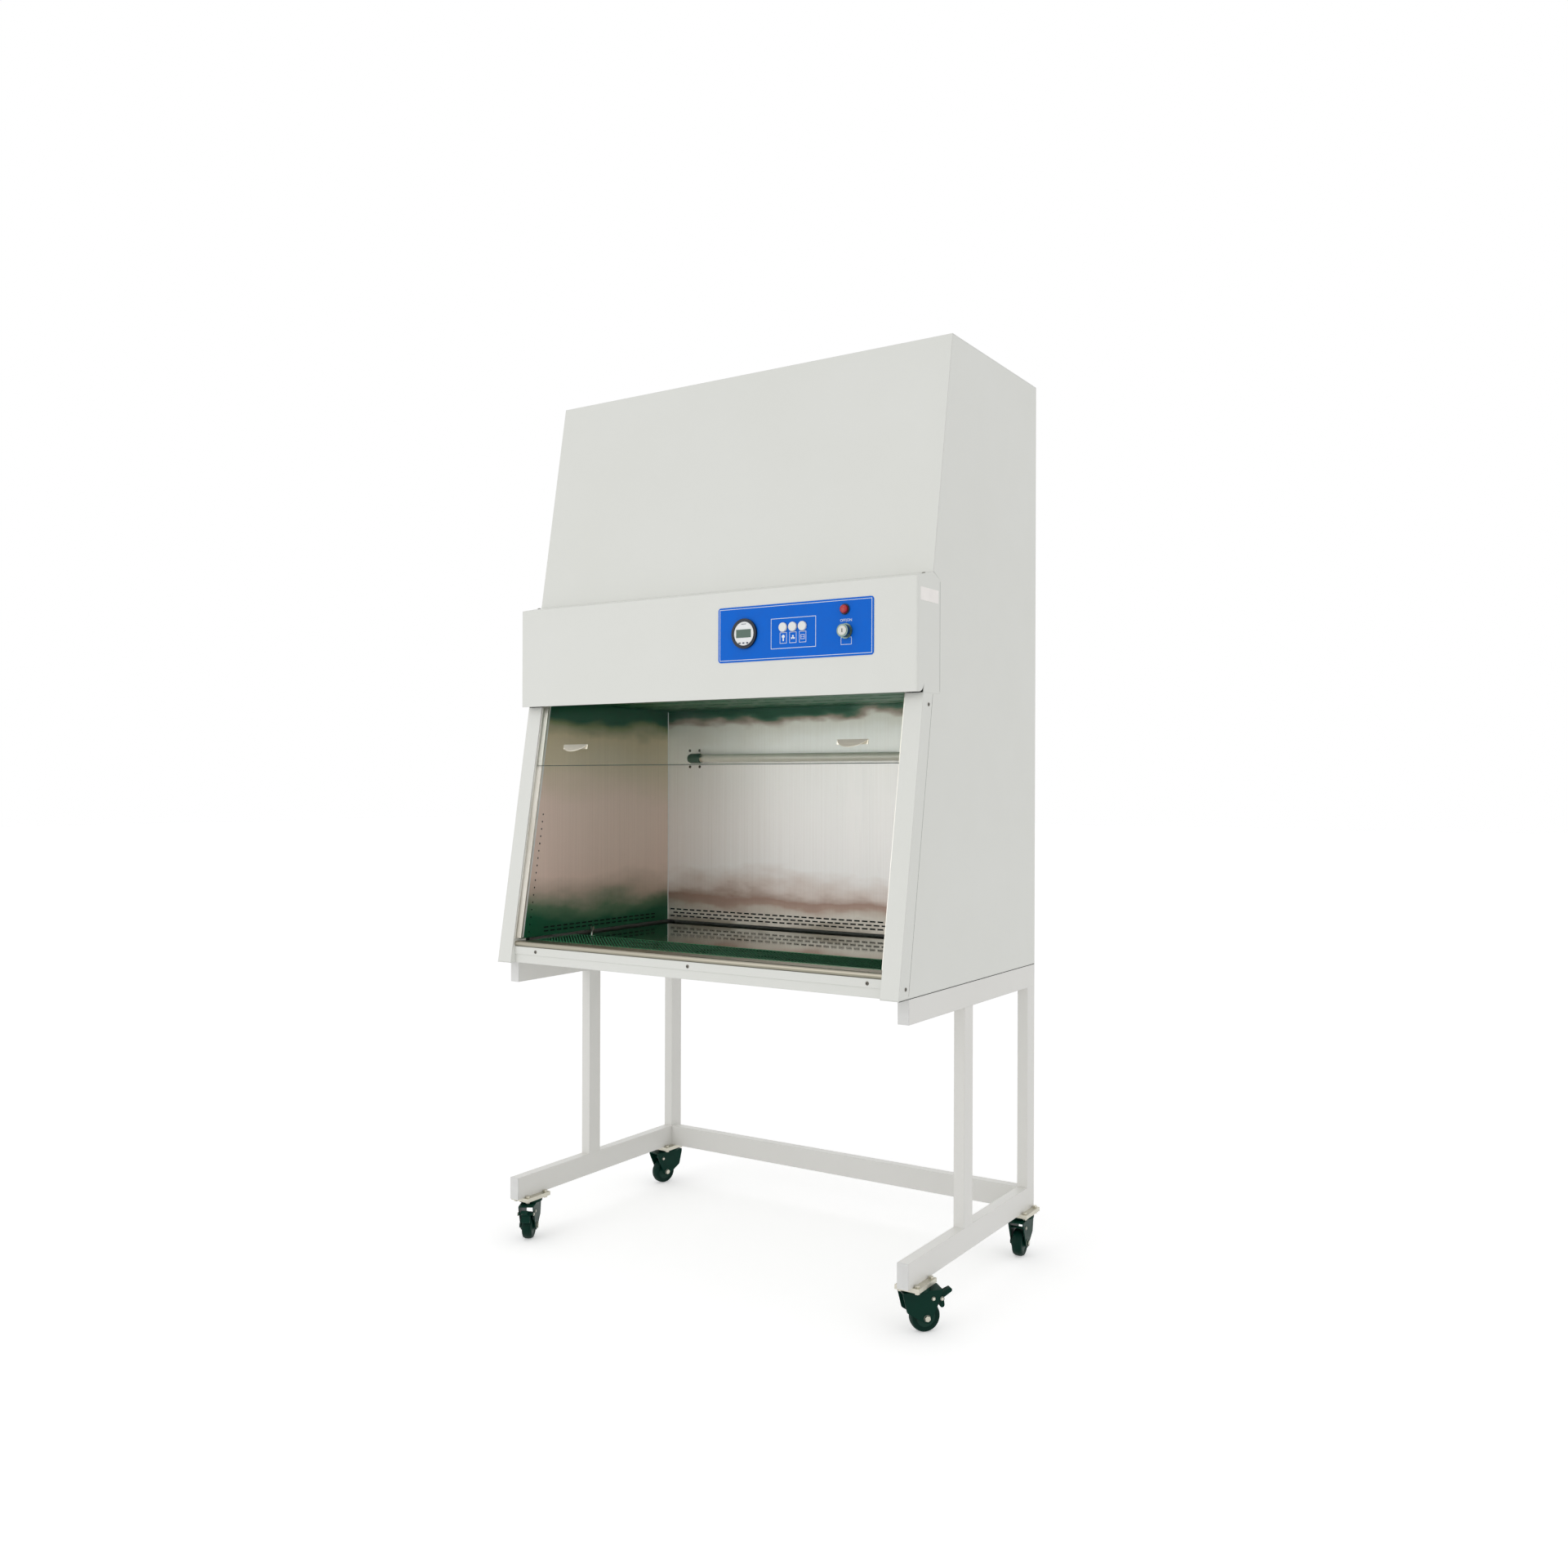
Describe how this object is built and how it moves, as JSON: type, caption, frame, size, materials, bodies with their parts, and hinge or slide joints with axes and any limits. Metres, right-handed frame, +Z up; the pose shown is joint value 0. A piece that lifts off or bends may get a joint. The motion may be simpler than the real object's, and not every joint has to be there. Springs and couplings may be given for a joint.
{
  "type": "biosafety cabinet",
  "caption": "Class II biosafety cabinet with a sloping front, sliding glass sash, blue control plate and a tubular stand on swivel castors.",
  "frame": {"origin": "on the floor, under the middle of the cabinet's width and depth", "axes": "+X to the right of someone facing the cabinet, +Y from the open front towards the back, +Z up"},
  "size_m": [1.3761, 0.802, 2.446],
  "materials": {
    "white_paint": "smooth light grey-white powder coat",
    "stainless": "brushed stainless steel",
    "polished_stainless": "mirror-polished stainless steel",
    "sash_glass": "clear tempered glass",
    "lamp_glass": "clear tube glass",
    "cream_plastic": "moulded lamp holder plastic",
    "blue_plate": "blue membrane plate",
    "white_plastic": "gloss white moulding",
    "grey_plastic": "matt grey moulding",
    "red_plastic": "translucent red lens",
    "key_chrome": "bright plated",
    "galvanised": "galvanised sheet",
    "filter_wood": "filter frame board",
    "filter_paper": "pleated glass paper",
    "motor_grey": "painted motor casing",
    "black_plastic": "black plastic",
    "castor_dark": "dark enamel on pressed steel",
    "castor_zinc": "zinc plated",
    "tyre_dark": "dark nylon wheel"
  },
  "bodies": {
    "cabinet": {"side_panel_left": "white_paint", "side_panel_right": "white_paint", "back_panel": "white_paint", "top_panel": "white_paint", "bottom_pan": "white_paint", "upper_front_panel": "white_paint", "control_hood": "white_paint", "pillar_left": "white_paint", "pillar_right": "white_paint", "sill_strip": "white_paint", "stand_foot_rails": "white_paint", "stand_top_rails": "white_paint", "stand_posts": "white_paint", "stand_crossbar": "white_paint", "stand_end_caps": "white_plastic", "sash_track_left": "stainless", "sash_track_right": "stainless", "sill_nose": "stainless", "drain_basin": "stainless", "exhaust_grille": "stainless", "air_diffuser": "stainless", "front_grille": "polished_stainless", "chamber_wall_left": "polished_stainless", "chamber_wall_right": "polished_stainless", "chamber_back_wall": "polished_stainless", "lamp_tube": "lamp_glass", "lamp_holders": "cream_plastic", "filter_frames": "filter_wood", "filter_media": "filter_paper", "plenum_box": "galvanised", "blower_housing": "galvanised", "blower_motor": "motor_grey", "control_plate": "blue_plate", "timer_bezel": "grey_plastic", "timer_face": "white_plastic", "indicator_lamp": "red_plastic", "key_switch_collar": "key_chrome", "cabinet_screws": "castor_zinc", "castor_plates": "castor_zinc", "castor_pads": "castor_zinc", "castor_bolts": "castor_zinc", "power_inlet": "black_plastic"},
    "sash": {"sash_glass": "sash_glass", "sash_handles": "stainless"},
    "tray": {"work_tray": "polished_stainless"},
    "impeller": {"blower_impeller": "galvanised"},
    "key": {"key_barrel": "key_chrome"},
    "button_1": {"push_button_1": "white_plastic"},
    "button_2": {"push_button_2": "white_plastic"},
    "button_3": {"push_button_3": "white_plastic"},
    "castor_front_left": {"castor_fork_front_left": "castor_dark"},
    "wheel_front_left": {"castor_wheel_front_left": "tyre_dark"},
    "pedal_front_left": {"brake_pedal_front_left": "castor_dark"},
    "castor_front_right": {"castor_fork_front_right": "castor_dark"},
    "wheel_front_right": {"castor_wheel_front_right": "tyre_dark"},
    "pedal_front_right": {"brake_pedal_front_right": "castor_dark"},
    "castor_rear_left": {"castor_fork_rear_left": "castor_dark"},
    "wheel_rear_left": {"castor_wheel_rear_left": "tyre_dark"},
    "castor_rear_right": {"castor_fork_rear_right": "castor_dark"},
    "wheel_rear_right": {"castor_wheel_rear_right": "tyre_dark"}
  },
  "joints": [
    {"name": "sash_slide", "type": "slide", "parent": "cabinet", "child": "sash", "axis": [0, 0.1634, 0.9866], "range_m": [-0.5, 0.09]},
    {"name": "tray_lift", "type": "slide", "parent": "cabinet", "child": "tray", "axis": [0, 0, 1], "range_m": [0, 0.1]},
    {"name": "impeller_spin", "type": "hinge", "parent": "cabinet", "child": "impeller", "pos_m": [0, 0.223, 2], "axis": [0, 1, 0], "continuous": true},
    {"name": "key_turn", "type": "hinge", "parent": "cabinet", "child": "key", "pos_m": [0.451, -0.3215, 1.6945], "axis": [0, 1, 0], "range_deg": [0, 90]},
    {"name": "button_1_press", "type": "slide", "parent": "cabinet", "child": "button_1", "axis": [0, 1, 0], "range_m": [0, 0.003], "stiffness_N_per_m": 400, "springref_m": -0.003},
    {"name": "button_2_press", "type": "slide", "parent": "cabinet", "child": "button_2", "axis": [0, 1, 0], "range_m": [0, 0.003], "stiffness_N_per_m": 400, "springref_m": -0.003},
    {"name": "button_3_press", "type": "slide", "parent": "cabinet", "child": "button_3", "axis": [0, 1, 0], "range_m": [0, 0.003], "stiffness_N_per_m": 400, "springref_m": -0.003},
    {"name": "swivel_front_left", "type": "hinge", "parent": "cabinet", "child": "castor_front_left", "pos_m": [-0.635, -0.282, 0.108], "axis": [0, 0, 1], "continuous": true},
    {"name": "wheel_spin_front_left", "type": "hinge", "parent": "castor_front_left", "child": "wheel_front_left", "pos_m": [-0.62334, -0.30066, 0.0375], "axis": [-0.848, -0.5299, 0], "continuous": true},
    {"name": "brake_front_left", "type": "hinge", "parent": "castor_front_left", "child": "pedal_front_left", "pos_m": [-0.6032, -0.33288, 0.081], "axis": [-0.848, -0.5299, 0], "range_deg": [-15, 0]},
    {"name": "swivel_front_right", "type": "hinge", "parent": "cabinet", "child": "castor_front_right", "pos_m": [0.635, -0.282, 0.108], "axis": [0, 0, 1], "continuous": true},
    {"name": "wheel_spin_front_right", "type": "hinge", "parent": "castor_front_right", "child": "wheel_front_right", "pos_m": [0.64972, -0.26565, 0.0375], "axis": [0.7431, -0.6691, 0], "continuous": true},
    {"name": "brake_front_right", "type": "hinge", "parent": "castor_front_right", "child": "pedal_front_right", "pos_m": [0.67515, -0.23741, 0.081], "axis": [0.7431, -0.6691, 0], "range_deg": [-15, 0]},
    {"name": "swivel_rear_left", "type": "hinge", "parent": "cabinet", "child": "castor_rear_left", "pos_m": [-0.635, 0.354, 0.108], "axis": [0, 0, 1], "continuous": true},
    {"name": "wheel_spin_rear_left", "type": "hinge", "parent": "castor_rear_left", "child": "wheel_rear_left", "pos_m": [-0.63995, 0.33256, 0.0375], "axis": [-0.9744, 0.225, 0], "continuous": true},
    {"name": "swivel_rear_right", "type": "hinge", "parent": "cabinet", "child": "castor_rear_right", "pos_m": [0.635, 0.354, 0.108], "axis": [0, 0, 1], "continuous": true},
    {"name": "wheel_spin_rear_right", "type": "hinge", "parent": "castor_rear_right", "child": "wheel_rear_right", "pos_m": [0.63768, 0.33216, 0.0375], "axis": [-0.9925, -0.1219, 0], "continuous": true}
  ]
}
